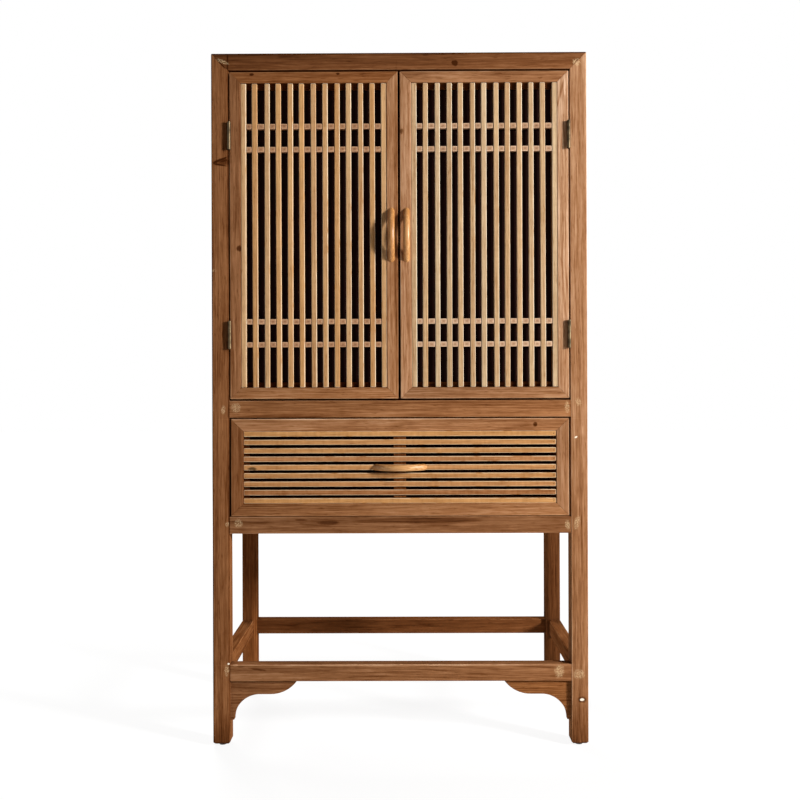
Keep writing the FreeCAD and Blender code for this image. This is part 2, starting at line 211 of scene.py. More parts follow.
def timber(name, tones, tints, figure=1.0, clarity=(1.0, 0.0), chatter=0.0, wear=1.0,
           rubbed=(0.2 * MM, 3.4 * MM), bare_and_highlight=None, stave=None, roughness=0.6, specular=0.0,
           knots=(), streaks=(), shade_and_grime=(), painted_highlights=(), fillings=(), plugs=(), blots=()):
    """Oiled wood. Each board holds its own grain frame, half size and random numbers as attributes.

    Clarity is how clearly the figure shows: a share, and what is added to it as the tone goes from 0 to 1.
    Rubbed is where, from the arris, the paler edge begins to fade and where it ends; that edge is partly wear
    and partly a painted highlight. Bare and highlight is its colour, where it isn't just a paler tone. The
    lists from knots on are marks, as mark_shows takes them."""
    material, make = new_material(name)
    grain = make.attribute("grain")
    along, across, deep = make.parts(grain)
    half_along, half_across, half_deep = make.parts(make.attribute("half"))
    tone, chance_a, chance_b = make.parts(make.attribute("board"))
    local = make.shifted(grain, make.scaled(make.attribute("board"), (0.0, 37.0, 53.0)))

    # Boards glued edge to edge into a panel, each with its own tone and grain
    stave_tone = seam = 0
    if stave:
        count = (across + chance_a) / stave
        number = count.math("FLOOR")
        white = make.add("ShaderNodeTexWhiteNoise", {"noise_dimensions": "1D"}, {"W": number + chance_b})
        stave_tone = (white - 0.5) * 0.16
        jump = make.add("ShaderNodeCombineXYZ", inputs={"X": number * 0.37, "Z": number * 2.3})
        local = make.shifted(local, jump)
        from_seam = (count.math("FRACT") - 0.5).math("ABSOLUTE")
        seam = from_seam.step(0.5 - SEAM_REACH / stave, 0.5)

    # Growth rings round a pith that lies beside the board and leans to it a little, some faint, some strong
    warp = make.noise(local, (2.4, 17.0, 17.0), 3.0) - 0.5
    pace = make.noise(local, (1.5, 34.0, 34.0), 3.0, 0.6)
    from_pith_across = across + (chance_a - 0.5) * PITH_ASIDE + along * ((chance_b - 0.5) * PITH_LEAN)
    from_pith_deep = deep + chance_b * PITH_SPREAD + PITH_DEPTH
    radius = (from_pith_across**2 + from_pith_deep**2) ** 0.5 + warp * RING_WARP
    phase = (radius / RING_WIDTH + pace * 2.6).math("FRACT")
    ring = phase.step(0.2, 0.85) * (1 - phase.step(0.88, 1.0)) * pace.step(0.38, 0.66)

    # Bands of darker and paler growth, blotches where the oil soaked in, long streaks, fibre and dark flecks
    band = make.noise(local, (2.6, 85.0, 85.0), 4.0, 0.62) - 0.5
    cloud = make.noise(local, (6.0, 12.0, 12.0), 3.0, 0.6) - 0.5
    mottle = make.noise(local, (46.0, 80.0, 80.0), 3.0, 0.6) - 0.5
    streak = make.noise(local, (8.0, 250.0, 250.0), 3.0, 0.62) - 0.5
    fibre = make.noise(local, (22.0, 560.0, 560.0), 3.0, 0.65) - 0.5
    fleck = make.noise(local, (42.0, 330.0, 330.0), 2.0).step(0.62, 0.74)
    ripple = 0
    if chatter:
        ripple = (make.noise(local, (130.0, 9.0, 9.0), 3.0, 0.6) - 0.5) * chatter

    # Distance from the nearest arris: the middle one of the distances to the board's three pairs of faces
    to_end = half_along - along.math("ABSOLUTE")
    to_side = half_across - across.math("ABSOLUTE")
    to_face = half_deep - deep.math("ABSOLUTE")
    wide = to_side.math("MAXIMUM", to_face)
    arris = wide.math("MINIMUM", to_end.math("MAXIMUM", to_side.math("MINIMUM", to_face)))
    # Paler arrises: partly wear, partly a painted highlight where the edges catch the light
    rub = make.noise(local, (30.0, 60.0, 60.0), 3.0)
    wear_and_highlight = (1 - arris.step(*rubbed)) * rub.step(0.28, 0.50) * wear

    # Marks of age, painted shade in the rebates and behind the cross slats, and painted shade and highlights
    # along edges
    knot = mark_shows(make, knots)
    filling = mark_shows(make, fillings)
    if fillings:
        place = make.add("ShaderNodeTexCoord", output="Object")
        filling = filling * make.noise(place, CRUMB_RATES, 4.0, 0.7).step(0.50, 0.58)
    stain = make.attribute("stain", "Fac")
    aged = (
        stain * -0.55 + knot * -0.40 + mark_shows(make, streaks) * -0.22
        + mark_shows(make, shade_and_grime) * -0.30 + mark_shows(make, painted_highlights) * 0.26
    )
    figured = (
        ring * (-0.13 * figure) + band * (0.34 * figure) + cloud * (0.24 * figure)
        + mottle * (0.14 * figure) + streak * (0.58 * figure) + fibre * 0.50 - fleck * 0.15
    )
    colour_place = (
        tone + figured * (tone * clarity[1] + clarity[0]) + wear_and_highlight * (0.0 if bare_and_highlight else 0.24)
        + ripple + stave_tone - seam * 0.2 + aged + 0.04
    )
    ramp = make.add("ShaderNodeValToRGB", {"stops": tones}, {"Fac": colour_place})
    tint = make.mixed(chance_b, *tints)
    colour = make.mixed(1.0, ramp, tint, "MULTIPLY")
    if bare_and_highlight:
        colour = make.mixed(wear_and_highlight, colour, bare_and_highlight)
    if fillings:
        colour = make.mixed(filling * 0.8, colour, filler)
    if plugs:
        colour = make.mixed(mark_shows(make, plugs), colour, peg_end)
    if blots:
        colour = make.mixed(mark_shows(make, blots) * 0.8, colour, mould)
    height = fibre * 0.5 + streak * 0.3 - ring * 0.2 - fleck * 0.7 + band * 0.3 - seam
    bump = make.add("ShaderNodeBump", inputs={"Height": height, "Strength": 0.35, "Distance": GRAIN_RELIEF})
    gloss = fibre * 0.25 + roughness - wear_and_highlight * 0.08 + fleck * 0.1
    surface = make.add("ShaderNodeBsdfPrincipled", inputs={
        "Base Color": colour, "Roughness": gloss, "Normal": bump, "Specular IOR Level": specular,
    })
    make.add("ShaderNodeOutputMaterial", inputs={"Surface": surface})
    return material


frame_tones = [
    (0.0, shade(60, 28, 8)),
    (0.25, shade(105, 62, 32)),
    (0.5, shade(145, 97, 60)),
    (0.75, shade(179, 132, 93)),
    (1.0, shade(212, 170, 132)),
]
frame_tints = ((1.03, 0.95, 0.82, 1.0), (0.98, 1.04, 1.18, 1.0))
split_knot = [(-413, 1354, 23, 3.0, 22.7), (-404, 1352, 11, 2.2, 17), (-413, 1343, 20, 2.2, -10.7)]
frame_wood = timber(
    "frame_wood", frame_tones, frame_tints, clarity=(0.48, 1.3), wear=0.6,
    knots=split_knot + [
        (130, 1575, 9, 8, 0), (-339, 1551, 6, 4, 0), (-140, 1552, 5, 3, 0), (7, 1418, 5, 8, 0),
        (-369, 1150, 7, 9, 0), (-411, 1577, 21, 1.8, -47), (312, 742, 6, 7, 0),
    ],
    streaks=[
        (-165, 516, 30, 6, 0), (-228, 523, 18, 3, 0), (-330, 178, 24, 3, -8), (-408, 1349, 26, 10, 5),
        (373, 1505, 45, 3.5, 75), (40, 521, 180, 8, 0), (95, 522, 60, 4, 0),
    ],
    # Mostly painted shade: the top edge, both arrises of the left post, and a band on the left door's meeting
    # stile where the right door shadows it. The front legs are darker towards the floor, and a real dark ring
    # lies round one plug.
    shade_and_grime=[
        (0, 1600, 900, 4, 0), (-433, 800, 3.5, 1500, 0), (-394.5, 800, 2.6, 1500, 0),
        (-5, 1180, 8, 420, 0), (414, -204, 80, 330, 0), (-410, -220, 80, 330, 0), (418, 107, 12, 9, 0),
    ],
    # Painted highlights along arrises that catch the light: the drawer's top, the stretcher's top, the right
    # post's inner edge, the right door's edge, and a short stretch at the left of the stretcher.
    painted_highlights=[
        (0, 755, 470, 2.0, 0), (0, 187, 470, 2.4, 0), (396, 200, 1.6, 180, 0), (383, 1520, 3, 26, 0),
        (-381, 187.5, 8, 3, 0),
    ],
    fillings=[
        (-406, 1581, 18, 5, -21.6), (411, 1576, 12, 10, 0), (-378, 782, 13, 14, 0), (-407, 778, 6, 12, 0),
        (-373, 515, 11, 12, 0), (-399, 513, 5, 7, 0), (366, 173, 14, 18, 0), (411, 166, 16, 13, 0),
        (-401, 176, 6, 16, 0), (-427, 1099, 6, 4, 0), (386, 510, 7, 14, 10), (408, 515, 8, 19, -15),
        (386, 782, 6, 16, 0), (412, 793, 7, 12, 20),
    ],
    plugs=[(406, 712, 4.2, 2.4, 25), (418, 107, 6.2, 4.2, 0), (-397, 191, 2.8, 2.8, 0)],
)
MERGE = 0.01 * MM
FLAT = math.radians(1.0)
CREASE = math.radians(30.0)
TIE_BREAK = 0.02 * MM


def islands(mesh):
    """The boards of a mesh, each as a list of its joined-up vertices."""
    seen = set()
    for start in mesh.verts:
        if start in seen:
            continue
        seen.add(start)
        board = [start]
        for vert in board:
            near = {edge.other_vert(vert) for edge in vert.link_edges} - seen
            seen |= near
            board += sorted(near, key=lambda other: other.index)
        yield board


def span(verts):
    """The lowest corner and the highest corner of some vertices."""
    low = Vector([min(vert.co[axis] for vert in verts) for axis in range(3)])
    high = Vector([max(vert.co[axis] for vert in verts) for axis in range(3)])
    return low, high


def in_place_order(verts):
    """A key that sorts boards by their middles, in tenths of a millimetre, off the halves."""
    low, high = span(verts)
    return tuple(round(value + TIE_BREAK, 4) for value in (low + high) / 2)


def grain_order(size, run):
    """The board's axes, from the grain to the thinnest way. Run names the grain if it isn't the longest."""
    order = sorted(range(3), key=lambda axis: -size[axis])
    if run is not None:
        order.sort(key=lambda axis: axis != run)
    return order


SHADE_REACH = 2.5 * MM
SHADED = 1.0


def mark_boards(data, tone, spread, seed, run=None, rebate=None, looks=None, coolness=(0.0, 1.0)):
    """Gives each board of a mesh its grain frame, its half size, and its tone and random numbers.

    The tone runs from its first value to its second along the board, and the coolness is drawn between its
    two. Looks, where they are given, are those two tones and the coolness of each board in turn. Rebate is
    the depth at which painted shade darkens the wood, where the slats shade the rebate."""
    draw = random.Random(seed)
    mesh = bmesh.new()
    mesh.from_mesh(data)
    grain = mesh.verts.layers.float_vector.new("grain")
    half = mesh.verts.layers.float_vector.new("half")
    board = mesh.verts.layers.float_vector.new("board")
    stain = mesh.verts.layers.float.get("stain") or mesh.verts.layers.float.new("stain")
    for rank, verts in enumerate(sorted(islands(mesh), key=in_place_order)):
        low, high = span(verts)
        order = grain_order(high - low, run)
        shift, chance, cool = draw.uniform(-spread, spread), draw.random(), draw.uniform(*coolness)
        first, last = tone
        if looks:
            first, last, cool = looks[rank]
        for vert in verts:
            from_middle = vert.co - (low + high) / 2
            size = high - low
            share = (vert.co - low)[order[0]] / size[order[0]]
            vert[grain] = Vector([from_middle[axis] for axis in order])
            vert[half] = Vector([size[axis] / 2 for axis in order])
            vert[board] = Vector((first + (last - first) * share + shift, chance, cool))
            # Painted shade on the rebate, where the slats' backs shade it
            if rebate is not None and abs(vert.co.y - rebate) < SHADE_REACH:
                vert[stain] = SHADED
    mesh.to_mesh(data)
    mesh.free()


def merged(node):
    """A CAD node's loose triangles as a joined-up mesh with whole flat faces."""
    mesh = bmesh.new()
    mesh.from_mesh(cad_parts[node].data)
    bmesh.ops.remove_doubles(mesh, verts=mesh.verts, dist=MERGE)
    bmesh.ops.dissolve_limit(mesh, angle_limit=FLAT, verts=mesh.verts, edges=mesh.edges)
    return mesh


def plain(thing):
    """The object's mesh with its modifiers worked in; the object keeps none."""
    bpy.context.scene.collection.objects.link(thing)
    bpy.context.view_layer.update()
    graph = bpy.context.evaluated_depsgraph_get()
    data = bpy.data.meshes.new_from_object(
        thing.evaluated_get(graph), preserve_all_data_layers=True, depsgraph=graph)
    thing.modifiers.clear()
    thing.data = data
    return thing


ARRIS_STEPS = 3
ALONG_GRAIN = 0.9


def eased(name, mesh, arris, seam, run=None):
    """Boards as one object, with their long edges rounded by the arris and their end edges just broken."""
    weight = mesh.edges.layers.float.new("bevel_weight_edge")
    for verts in islands(mesh):
        low, high = span(verts)
        along = grain_order(high - low, run)[0]
        for edge in {edge for vert in verts for edge in vert.link_edges}:
            if edge.is_convex and edge.calc_face_angle(0.0) > CREASE:
                line = (edge.verts[1].co - edge.verts[0].co).normalized()
                edge[weight] = 1.0 if abs(line[along]) > ALONG_GRAIN else seam / arris
    data = bpy.data.meshes.new(name)
    mesh.to_mesh(data)
    mesh.free()
    data.shade_smooth()
    thing = bpy.data.objects.new(name, data)
    bevel = thing.modifiers.new("arris", "BEVEL")
    bevel.limit_method = "WEIGHT"
    bevel.width = arris
    bevel.segments = ARRIS_STEPS
    bevel.use_clamp_overlap = False
    bevel.harden_normals = True
    return plain(thing)


def dress(thing, material, body, slot, *nodes):
    """Gives a piece its material, hides the CAD nodes, if any, that it stands for, and ties it to its body.
    The slot is not used.
    """
    thing.data.materials.clear()
    thing.data.materials.append(material)
    if nodes:
        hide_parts(*nodes)
    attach(thing, body)
    return thing


def boards(nodes, body="carcase", material=frame_wood, slot="frame_wood", stuff="wood", arris=2.0 * MM,
           seam=0.6 * MM, tone=(0.5, 0.5), spread=0.03, run=None, rebate=None, looks=None,
           coolness=(0.3, 0.7)):
    """One piece of eased boards for each CAD node, named for the node and for what it is made of."""
    for node in nodes:
        thing = eased(node + "_" + stuff, merged(node), arris, seam, run)
        mark_boards(thing.data, tone, spread, node, run, rebate, looks, coolness)
        dress(thing, material, body, slot, node)


boards(["front_left_post"], tone=(0.31, 0.36), spread=0, seam=0.9 * MM, coolness=(0.6, 0.6))
boards(["front_right_post"], tone=(0.43, 0.64), spread=0, seam=0.9 * MM, coolness=(0.85, 0.85))
# The rear posts take dark tones: painted shade, as little light reaches the back of the cabinet.
boards(["rear_left_post"], tone=(0.22, 0.24), coolness=(0.0, 0.1))
boards(["rear_right_post"], tone=(0.10, 0.13), coolness=(0.9, 1.0))

# Top frame
# Four rails of the same wood, mitred three ways into the posts, and darker than they are. Their tops
# are flush, and a thin panel lies in a groove round their inner edge.
boards(["top_front_rail"], tone=(0.12, 0.26), spread=0, seam=0.9 * MM, coolness=(1.0, 1.0))
boards(["top_left_rail", "top_right_rail", "top_rear_rail"], tone=(0.36, 0.36))

# Middle and base rails
# Rails of the same wood run between the posts over and under the drawer, flush with them at the front. Their
# ends are tenoned into the posts, and old filler shows at the joints.
boards(["mid_front_rail"], tone=(0.41, 0.41), spread=0)
boards(["base_front_rail"], tone=(0.38, 0.32), spread=0, coolness=(1.0, 1.0))
boards(["mid_side_rails", "base_side_rails", "mid_rear_rail", "base_rear_rail"], tone=(0.42, 0.42))

# Stretchers and brackets
# Low stretchers tie the four legs together. Under the front one a pair of thin sawn brackets, each with an
# ogee edge, sits a little behind the face.
boards(["front_stretcher"], tone=(0.40, 0.38), spread=0, arris=2.2 * MM, coolness=(0.8, 0.8))
# The side and rear stretchers take dark tones: painted shade, as they lie low and deep in the cabinet's
# shadow.
boards(["left_stretcher"], tone=(0.28, 0.28), arris=2.2 * MM)
boards(["right_stretcher"], tone=(0.24, 0.24), arris=2.2 * MM)
boards(["rear_stretcher"], tone=(0.12, 0.19), spread=0, arris=2.2 * MM)
X_AXIS, Z_AXIS = 0, 2
boards(["stretcher_brackets"], arris=0.8 * MM, seam=0.5 * MM, run=X_AXIS, spread=0,
       looks=[(0.28, 0.30, 1.0), (0.38, 0.36, 0.1)])

# Panels, floor and shelf
# Thin panels, glued up from narrow boards of the same wood, float in grooves at the sides, back and top. The
# floor sits in the middle rails and the shelf lies loose on two cleats.
panel_wood = timber("panel_wood", frame_tones, frame_tints, figure=0.9, wear=0.3, stave=92 * MM,
                    roughness=0.68)
upright_panels = ["left_upper_panel", "right_upper_panel", "lower_side_panels", "upper_back_panel",
                  "lower_back_panel"]
boards(upright_panels, material=panel_wood, slot="panel_wood", arris=0.5 * MM, tone=(0.44, 0.44), run=Z_AXIS)
boards(["top_panel", "cabinet_floor", "shelf", "shelf_cleats"], material=panel_wood, slot="panel_wood",
       arris=0.6 * MM, tone=(0.44, 0.44), run=X_AXIS)

# Foot glides
# A small tapered glide of dark moulded plastic is nailed under each leg. It keeps the end grain off the
# floor.


def plastic(name, colour, roughness):
    """Moulded plastic with a faint mottle."""
    material, make = new_material(name)
    place = make.add("ShaderNodeTexCoord", output="Object")
    mottle = make.noise(place, (240.0, 240.0, 240.0), 3.0)
    dark = tuple(value * 0.7 for value in colour[:3]) + (1.0,)
    surface = make.add("ShaderNodeBsdfPrincipled", inputs={
        "Base Color": make.mixed(mottle, dark, colour), "Roughness": mottle * 0.2 + (roughness - 0.1),
        "Specular IOR Level": 0.4,
    })
    make.add("ShaderNodeOutputMaterial", inputs={"Surface": surface})
    return material


def joined(name, node):
    """A copy of a CAD node with its round faces shaded smooth."""
    mesh = merged(node)
    data = bpy.data.meshes.new(name)
    mesh.to_mesh(data)
    mesh.free()
    data.shade_smooth()
    data.set_sharp_from_angle(angle=CREASE)
    thing = bpy.data.objects.new(name, data)
    bpy.context.scene.collection.objects.link(thing)
    return thing


glide_plastic = plastic("glide_plastic", shade(104, 98, 94), 0.5)
glides = joined("foot_glides_plastic", "foot_glides")
dress(glides, glide_plastic, "carcase", "glide_plastic", "foot_glides")

# Door frames
# Each door is a mitred frame with a rebate at its front for the slats and one at its back for a dark board.
# The rebates are darkened where the slats lie in them: painted shade, as the slats shade them.
door_looks = {
    "left": {"rails": [(0.53, 0.51, 0.5), (0.30, 0.31, 0.4)],
             "stiles": [(0.38, 0.38, 1.0), (0.53, 0.56, 0.7)]},
    "right": {"rails": [(0.53, 0.52, 0.9), (0.41, 0.41, 1.0)],
              "stiles": [(0.55, 0.58, 1.0), (0.63, 0.79, 1.0)]},
}
for side, looks in door_looks.items():
    body = side + "_door"
    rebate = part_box(body + "_slats")[1].y
    for members, member_looks in looks.items():
        boards([body + "_" + members], body, arris=1.5 * MM, seam=1.0 * MM, rebate=rebate,
               looks=member_looks, spread=0)

# Door slats
# Thirteen upright slats of pale wood lie in each door's rebate, sawn by hand, so that their widths and the
# gaps between them are a little uneven. Four cross slats lap over them from behind and tie them together.
slat_tones = [
    (0.0, shade(140, 92, 50)),
    (0.5, shade(204, 163, 116)),
    (1.0, shade(246, 224, 192)),
]
slat_tints = ((1.0, 0.915, 0.79, 1.0), (1.0, 1.21, 1.54, 1.0))
# The slats' near-white edges are a painted highlight along their arrises, over some wear
slat_edge_highlight = shade(216, 206, 183)
SLAT_ARRIS = 1.3 * MM
slat_rubbed = (0.8 * SLAT_ARRIS, 1.2 * SLAT_ARRIS)
slat_wood = timber("slat_wood", slat_tones, slat_tints, figure=0.75, chatter=0.14, wear=0.65,
                   rubbed=slat_rubbed, bare_and_highlight=slat_edge_highlight, roughness=0.55)
cross_slat_tones = [
    (0.0, shade(120, 82, 58)),
    (0.5, shade(168, 127, 96)),
    (1.0, shade(216, 178, 146)),
]
cross_slat_tints = ((1.0, 0.97, 0.92, 1.0), (1.0, 1.08, 1.14, 1.0))
cross_slat_wood = timber("cross_slat_wood", cross_slat_tones, cross_slat_tints, figure=0.8, chatter=0.2,
                         wear=0.3, roughness=0.6)


def slat_row():
    """A row of straight slats, each a little off its true width, place and angle."""
    tree = bpy.data.node_groups.new("slat_row", "GeometryNodeTree")
    make = Maker(tree)
    inputs = {"Count": "NodeSocketInt", "First": "NodeSocketVector", "Step": "NodeSocketVector",
              "Size": "NodeSocketVector", "Stretch": "NodeSocketVector", "Drift": "NodeSocketVector",
              "Lean": "NodeSocketFloat", "Seed": "NodeSocketInt", "Finish": "NodeSocketMaterial"}
    given = make.given(inputs, "Slats")
    back = make.scaled(given.out("Drift"), (-1.0, -1.0, -1.0))
    one = (1.0, 1.0, 1.0)
    thin = make.add("ShaderNodeVectorMath", {"operation": "SUBTRACT"}, {0: one, 1: given.out("Stretch")})
    thick = make.shifted(given.out("Stretch"), one)

    def scatter(low, high, kind, salt):
        end = "" if kind == "FLOAT_VECTOR" else "_001"
        values = {"Min" + end: low, "Max" + end: high, "Seed": given.out("Seed") + salt}
        index = 0 if kind == "FLOAT_VECTOR" else 1
        return make.add("FunctionNodeRandomValue", {"data_type": kind}, values, output=index)

    line = make.add("GeometryNodeMeshLine", {"mode": "OFFSET"}, {
        "Count": given.out("Count"), "Start Location": given.out("First"), "Offset": given.out("Step")})
    moved = make.add("GeometryNodeSetPosition", inputs={
        "Geometry": line, "Offset": scatter(back, given.out("Drift"), "FLOAT_VECTOR", 0)})
    bar = make.add("GeometryNodeMeshCube", inputs={"Size": given.out("Size")})
    lean = scatter(given.out("Lean") * -1, given.out("Lean"), "FLOAT", 1)
    turn = make.add("ShaderNodeCombineXYZ", inputs={"Y": lean})
    placed = make.add("GeometryNodeInstanceOnPoints", inputs={
        "Points": moved, "Instance": bar, "Rotation": turn,
        "Scale": scatter(thin, thick, "FLOAT_VECTOR", 2)})
    whole = make.add("GeometryNodeRealizeInstances", inputs={"Geometry": placed})
    painted = make.add("GeometryNodeSetMaterial", inputs={
        "Geometry": whole, "Material": given.out("Finish")})
    make.add("NodeGroupOutput", inputs={"Slats": painted})
    return tree


def grown_by(name, tree, arris=0.0, points=(), **values):
    """An object whose mesh is made by a node tree, with its edges planed off flat by the arris.

    Points are the places that a tree with a Geometry input works on."""
    data = bpy.data.meshes.new(name)
    data.from_pydata(points, [], [])
    thing = bpy.data.objects.new(name, data)
    nodes = thing.modifiers.new("grown", "NODES")
    nodes.node_group = tree
    for item in tree.interface.items_tree:
        if item.in_out == "INPUT" and item.socket_type != "NodeSocketGeometry":
            nodes[item.identifier] = values[item.name]
    if arris:
        bevel = thing.modifiers.new("arris", "BEVEL")
        bevel.limit_method = "ANGLE"
        bevel.width = arris
        bevel.segments = 1
    return plain(thing)


def true_boxes(node):
    """The solids of a CAD node as boxes, in the order of their places."""
    mesh = merged(node)
    found = [span(verts) for verts in sorted(islands(mesh), key=in_place_order)]
    mesh.free()
    return found


row_of_slats = slat_row()


def lay_slats(node, body, material, slot, across, stretch, drift, lean, seed, tone=(0.5, 0.5), spread=0.0,
              looks=None, coolness=(0.0, 1.0)):
    """Uneven slats over a CAD node's true ones; across is the axis that they are spread along."""
    true = true_boxes(node)
    middles = [(low + high) / 2 for low, high in true]
    size = true[0][1] - true[0][0]
    sideways = Vector([1.0 if axis == across else 0.0 for axis in range(3)])
    thing = grown_by(
        node + "_wood", row_of_slats, SLAT_ARRIS, Count=len(true), First=middles[0],
        Step=(middles[-1] - middles[0]) / (len(true) - 1), Size=size, Stretch=sideways * stretch,
        Drift=sideways * drift, Lean=lean, Seed=seed, Finish=material)
    mark_boards(thing.data, tone, spread, node, looks=looks, coolness=coolness)
    return dress(thing, material, body, slot, node)


def slat_sides(slats, height):
    """The low and high X of each laid slat at a height, from left to right."""
    mesh = bmesh.new()
    mesh.from_mesh(slats.data)
    sides = []
    for verts in islands(mesh):
        low, high = span(verts)
        share = (height - low.z) / (high.z - low.z)
        middle = (low.z + high.z) / 2
        foot = span([vert for vert in verts if vert.co.z < middle])
        head = span([vert for vert in verts if vert.co.z > middle])
        sides.append([start.x + (end.x - start.x) * share for start, end in zip(foot, head)])
    mesh.free()
    return sorted(sides)


LAP_GAP = 0.9 * MM


def lapped(node, slats):
    """Cross slats with teeth that fill the gaps between the slats as they were laid.

    Painted shade darkens the web behind the teeth, which the slats shade, and the same attribute darkens the
    middle of each tooth's end a little."""
    web = span(slats.data.vertices)[1].y
    mesh = bmesh.new()
    stain = mesh.verts.layers.float.new("stain")
    for low, high in true_boxes(node):
        outline = [(low.x, high.y), (low.x, web)]
        sides = slat_sides(slats, (low.z + high.z) / 2)
        for (_, left), (right, _) in zip(sides, sides[1:]):
            tooth = (left + LAP_GAP, right - LAP_GAP)
            outline += [(tooth[0], web), (tooth[0], low.y), (tooth[1], low.y), (tooth[1], web)]
        outline += [(high.x, web), (high.x, high.y)]
        under = [mesh.verts.new((x, y, low.z)) for x, y in outline]
        over = [mesh.verts.new((x, y, high.z)) for x, y in outline]
        mesh.faces.new(under)
        mesh.faces.new(over)
        for index, (x, y) in enumerate(outline):
            corners = (under[index - 1], under[index], over[index], over[index - 1])
            side = mesh.faces.new(corners)
            if y == outline[index - 1][1] == low.y:
                middle = bmesh.ops.poke(mesh, faces=[side])["verts"][0]
                middle[stain] = SHADED
            elif y > low.y:
                under[index][stain] = over[index][stain] = SHADED
    bmesh.ops.recalc_face_normals(mesh, faces=mesh.faces)
    return mesh


door_slat_looks = {"left": {"tone": (0.29, 0.29), "coolness": (0.0, 0.5)},
                   "right": {"tone": (0.26, 0.26), "coolness": (0.55, 1.0)}}
cross_slat_looks = {"left": [(0.66, 0.64, 0.1)] * 4,
                    "right": [(0.86, 0.86, 0.9), (0.78, 0.78, 0.9), (0.70, 0.70, 0.9), (0.70, 0.70, 0.9)]}
for seed, side in enumerate(("left", "right")):
    body = side + "_door"
    slats = lay_slats(body + "_slats", body, slat_wood, "slat_wood", across=X_AXIS, stretch=0.04,
                      drift=0.9 * MM, lean=0.0022, seed=seed + 3, spread=0.06, **door_slat_looks[side])
    lapping = lapped(body + "_cross_slats", slats)
    cross_slats = eased(body + "_cross_slats_wood", lapping, 0.8 * MM, 0.5 * MM)
    mark_boards(cross_slats.data, (0.5, 0.5), 0.04, side, looks=cross_slat_looks[side])
    dress(cross_slats, cross_slat_wood, body, "slat_wood", body + "_cross_slats")

# Dark boards behind the slats
# A thin board, let into a rebate, closes the back of each door and of the drawer front. It is stained black,
# so that the gaps between the slats look deep.


def black_stain():
    """Wood stained black, with a trace of its fibre."""
    material, make = new_material("black_backing")
    place = make.add("ShaderNodeTexCoord", output="Object")
    fibre = make.noise(place, (420.0, 60.0, 24.0), 4.0)
    stops = [(0.3, shade(14, 4, 2)), (0.75, shade(36, 13, 9))]
    colour = make.add("ShaderNodeValToRGB", {"stops": stops}, {"Fac": fibre})
    bump = make.add("ShaderNodeBump", inputs={"Height": fibre, "Strength": 0.2, "Distance": 0.4 * MM})
    surface = make.add("ShaderNodeBsdfPrincipled", inputs={
        "Base Color": colour, "Roughness": fibre * 0.2 + 0.75, "Normal": bump, "Specular IOR Level": 0.05})
    make.add("ShaderNodeOutputMaterial", inputs={"Surface": surface})
    return material


black_backing = black_stain()
for body in ("left_door", "right_door", "drawer"):
    boards([body + "_backing"], body, black_backing, "black_backing", arris=0.5 * MM)

# Bow handles
# Each handle is one piece of hardwood, shaped to a bow with a rounded section and fixed by its two feet. It
# is glossy from oil and use.
handle_tones = [
    (0.0, shade(98, 47, 8)),
    (0.5, shade(173, 117, 60)),
    (1.0, shade(230, 186, 130)),
]
handle_tints = ((1.0, 1.0, 1.0, 1.0), (1.0, 1.0, 1.0, 1.0))
handle_wood = timber("handle_wood", handle_tones, handle_tints, figure=1.2, wear=0.0, roughness=0.38,
                     specular=0.44)
BOW_THICKNESS = 13 * MM
BOW_STEPS = 48
BOW_SIDES = 28
BOW_SPARE = 1.25
BOW_CREASE = math.radians(50.0)


def bow(name, node, along):
    """The handle's bow as a smooth bar, cut flat on the face that it stands on."""
    low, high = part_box(node)
    foot = (low + high) / 2
    foot.y = high.y
    rise = high.y - low.y
    reach = (high[along] - low[along]) / 2
    across = X_AXIS + Z_AXIS - along
    width = high[across] - low[across]
    outer = (reach**2 + rise**2) / (2 * rise)
    turn = math.acos((outer - rise) / outer) * BOW_SPARE
    mesh = bmesh.new()
    rings = []
    for step in range(BOW_STEPS + 1):
        swing = turn * (2 * step / BOW_STEPS - 1)
        ring = []
        for side in range(BOW_SIDES):
            round_turn = 2 * math.pi * side / BOW_SIDES
            from_centre = outer - BOW_THICKNESS / 2 + math.cos(round_turn) * BOW_THICKNESS / 2
            point = foot.copy()
            point[along] += math.sin(swing) * from_centre
            point.y += outer - rise - math.cos(swing) * from_centre
            point[across] += math.sin(round_turn) * width / 2
            ring.append(mesh.verts.new(point))
        rings.append(ring)
    for one, other in zip(rings, rings[1:]):
        for side in range(BOW_SIDES):
            after = (side + 1) % BOW_SIDES
            mesh.faces.new((one[side], one[after], other[after], other[side]))
    mesh.faces.new(rings[0])
    mesh.faces.new(rings[-1])
    bmesh.ops.recalc_face_normals(mesh, faces=mesh.faces)
    everything = mesh.verts[:] + mesh.edges[:] + mesh.faces[:]
    cut = bmesh.ops.bisect_plane(mesh, geom=everything, plane_co=foot, plane_no=(0, 1, 0), clear_outer=True)
    rim = [item for item in cut["geom_cut"] if isinstance(item, bmesh.types.BMEdge)]
    bmesh.ops.edgeloop_fill(mesh, edges=rim)
    bmesh.ops.recalc_face_normals(mesh, faces=mesh.faces)
    data = bpy.data.meshes.new(name)
    mesh.to_mesh(data)
    mesh.free()
    data.shade_smooth()
    data.set_sharp_from_angle(angle=BOW_CREASE)
    thing = bpy.data.objects.new(name, data)
    bpy.context.scene.collection.objects.link(thing)
    return thing


for body, along, tone in (("left_door", Z_AXIS, 0.5), ("right_door", Z_AXIS, 0.5), ("drawer", X_AXIS, 0.58)):
    node = body + "_handle"
    handle = bow(node + "_wood", node, along)
    mark_boards(handle.data, (tone, tone), 0.03, node)
    dress(handle, handle_wood, body, "handle_wood", node)

# Hinges
# Steel butt hinges: two leaves in the gap between post and door, each held by three slotted
# screws, and a pin through the knuckles. The steel is made dark so that it mirrors little of the white
# surroundings: painted shade in its reflections.


